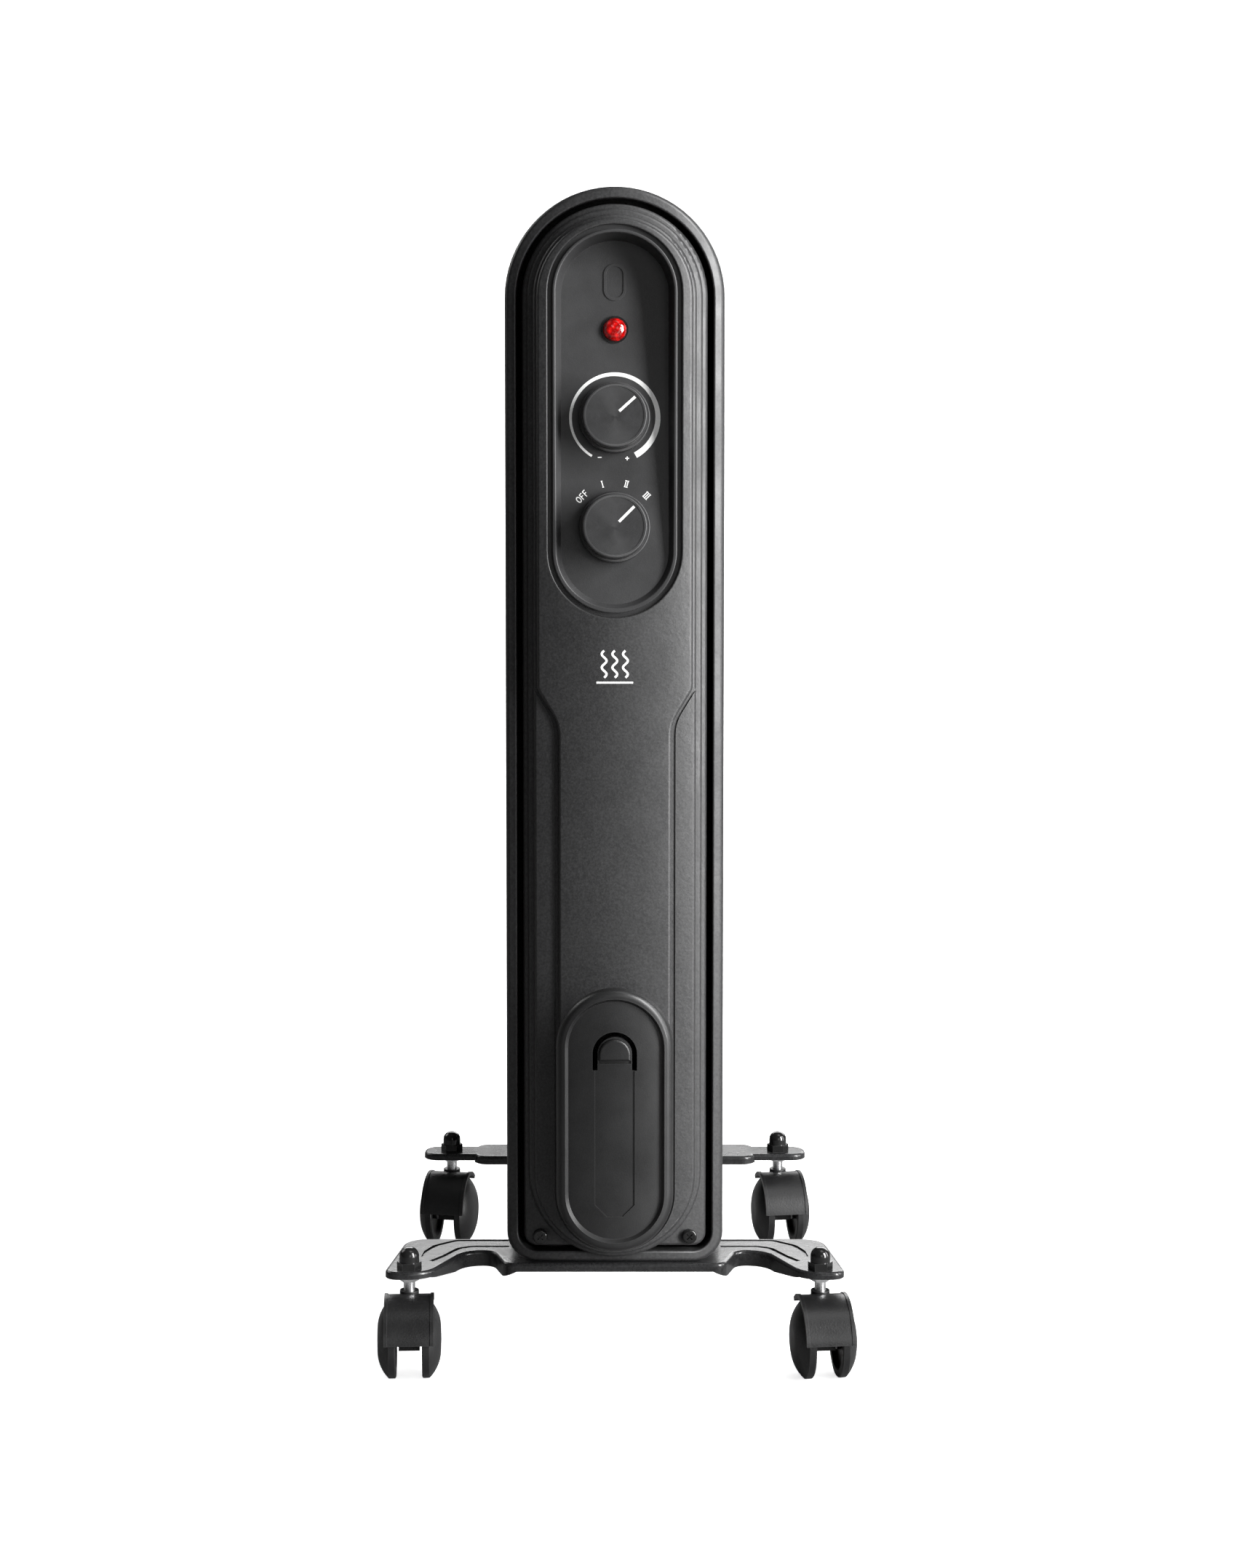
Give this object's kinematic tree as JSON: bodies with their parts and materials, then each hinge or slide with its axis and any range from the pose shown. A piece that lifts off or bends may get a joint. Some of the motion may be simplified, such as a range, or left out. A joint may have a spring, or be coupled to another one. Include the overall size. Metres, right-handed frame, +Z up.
{
  "type": "oil filled radiator heater",
  "caption": "Upright oil filled column radiator with pressed steel fins, a control casing with dials, a cord wrap and swivel casters.",
  "frame": {"origin": "on the floor, under the middle of the heater's bounding box", "axes": "+Z up, +X to the right as seen from the control end, +Y from the control end to the rear"},
  "size_m": [0.2508, 0.346, 0.6199],
  "materials": {
    "charcoal_paint": "satin powder coat",
    "black_paint": "satin",
    "panel_plastic": "matt",
    "knob_plastic": "satin, turned face",
    "wrap_plastic": "matt",
    "caster_plastic": "satin",
    "red_lens": "clear red",
    "lamp_glass": "clear",
    "zinc_steel": "zinc plated",
    "bright_chrome": "polished",
    "black_steel": "blackened",
    "element_steel": "satin",
    "shaft_alloy": "turned",
    "gasket_rubber": "matt",
    "insulator": "matt"
  },
  "bodies": {
    "heater": {"fin_1": "charcoal_paint", "fin_2": "charcoal_paint", "fin_3": "charcoal_paint", "fin_4": "charcoal_paint", "fin_5": "charcoal_paint", "fin_6": "charcoal_paint", "fin_7": "charcoal_paint", "upper_necks": "charcoal_paint", "lower_necks": "charcoal_paint", "gallery_caps": "charcoal_paint", "casing_shell": "charcoal_paint", "casing_back": "charcoal_paint", "casing_cover": "charcoal_paint", "front_foot": "black_paint", "rear_foot": "black_paint", "control_panel": "panel_plastic", "indicator_lens": "red_lens", "indicator_lamp": "lamp_glass", "thermostat": "insulator", "mode_switch": "insulator", "terminal_block": "insulator", "cord_wrap_hub": "wrap_plastic", "cord_wrap_plate": "wrap_plastic", "cord_bush": "gasket_rubber", "element_gasket": "gasket_rubber", "casing_screws": "black_steel", "cap_nuts": "black_steel", "cord_wrap_screws": "zinc_steel", "foot_screws": "zinc_steel", "rear_u_bolt": "zinc_steel", "wing_nuts": "zinc_steel", "casing_studs": "zinc_steel", "casing_stud_nuts": "zinc_steel", "filler_plug": "zinc_steel", "element_flange": "zinc_steel", "heating_element_large": "element_steel", "heating_element_small": "element_steel", "thermal_cutout": "element_steel", "caster_stems": "bright_chrome", "stem_nuts": "bright_chrome"},
    "thermostat_dial": {"thermostat_knob": "knob_plastic", "thermostat_shaft": "shaft_alloy"},
    "mode_dial": {"mode_knob": "knob_plastic", "mode_shaft": "shaft_alloy"},
    "front_left_caster": {"front_left_hood": "caster_plastic", "front_left_axle": "zinc_steel"},
    "front_left_left_wheel": {"front_left_wheel_left": "caster_plastic"},
    "front_left_right_wheel": {"front_left_wheel_right": "caster_plastic"},
    "front_right_caster": {"front_right_hood": "caster_plastic", "front_right_axle": "zinc_steel"},
    "front_right_left_wheel": {"front_right_wheel_left": "caster_plastic"},
    "front_right_right_wheel": {"front_right_wheel_right": "caster_plastic"},
    "rear_left_caster": {"rear_left_hood": "caster_plastic", "rear_left_axle": "zinc_steel"},
    "rear_left_left_wheel": {"rear_left_wheel_left": "caster_plastic"},
    "rear_left_right_wheel": {"rear_left_wheel_right": "caster_plastic"},
    "rear_right_caster": {"rear_right_hood": "caster_plastic", "rear_right_axle": "zinc_steel"},
    "rear_right_left_wheel": {"rear_right_wheel_left": "caster_plastic"},
    "rear_right_right_wheel": {"rear_right_wheel_right": "caster_plastic"}
  },
  "joints": [
    {"name": "thermostat_turn", "type": "hinge", "parent": "heater", "child": "thermostat_dial", "pos_m": [0, -0.129, 0.501], "axis": [0, -0.9962, 0.0872], "range_deg": [-103, 197]},
    {"name": "mode_turn", "type": "hinge", "parent": "heater", "child": "mode_dial", "pos_m": [0, -0.13394, 0.4445], "axis": [0, -0.9962, 0.0872], "range_deg": [0, 90]},
    {"name": "front_left_swivel", "type": "hinge", "parent": "heater", "child": "front_left_caster", "pos_m": [-0.108, -0.139, 0.04], "axis": [0, 0, 1], "continuous": true},
    {"name": "front_left_left_wheel_spin", "type": "hinge", "parent": "front_left_caster", "child": "front_left_left_wheel", "pos_m": [-0.10758, -0.14699, 0.02], "axis": [0.9986, 0.0523, 0], "continuous": true},
    {"name": "front_left_right_wheel_spin", "type": "hinge", "parent": "front_left_caster", "child": "front_left_right_wheel", "pos_m": [-0.10758, -0.14699, 0.02], "axis": [0.9986, 0.0523, 0], "continuous": true},
    {"name": "front_right_swivel", "type": "hinge", "parent": "heater", "child": "front_right_caster", "pos_m": [0.108, -0.139, 0.04], "axis": [0, 0, 1], "continuous": true},
    {"name": "front_right_left_wheel_spin", "type": "hinge", "parent": "front_right_caster", "child": "front_right_left_wheel", "pos_m": [0.10898, -0.14694, 0.02], "axis": [0.9925, 0.1219, 0], "continuous": true},
    {"name": "front_right_right_wheel_spin", "type": "hinge", "parent": "front_right_caster", "child": "front_right_right_wheel", "pos_m": [0.10898, -0.14694, 0.02], "axis": [0.9925, 0.1219, 0], "continuous": true},
    {"name": "rear_left_swivel", "type": "hinge", "parent": "heater", "child": "rear_left_caster", "pos_m": [-0.0995, 0.102, 0.04], "axis": [0, 0, 1], "continuous": true},
    {"name": "rear_left_left_wheel_spin", "type": "hinge", "parent": "rear_left_caster", "child": "rear_left_left_wheel", "pos_m": [-0.10075, 0.0941, 0.02], "axis": [0.9877, -0.1564, 0], "continuous": true},
    {"name": "rear_left_right_wheel_spin", "type": "hinge", "parent": "rear_left_caster", "child": "rear_left_right_wheel", "pos_m": [-0.10075, 0.0941, 0.02], "axis": [0.9877, -0.1564, 0], "continuous": true},
    {"name": "rear_right_swivel", "type": "hinge", "parent": "heater", "child": "rear_right_caster", "pos_m": [0.0995, 0.102, 0.04], "axis": [0, 0, 1], "continuous": true},
    {"name": "rear_right_left_wheel_spin", "type": "hinge", "parent": "rear_right_caster", "child": "rear_right_left_wheel", "pos_m": [0.10061, 0.09408, 0.02], "axis": [0.9903, 0.1392, 0], "continuous": true},
    {"name": "rear_right_right_wheel_spin", "type": "hinge", "parent": "rear_right_caster", "child": "rear_right_right_wheel", "pos_m": [0.10061, 0.09408, 0.02], "axis": [0.9903, 0.1392, 0], "continuous": true}
  ]
}
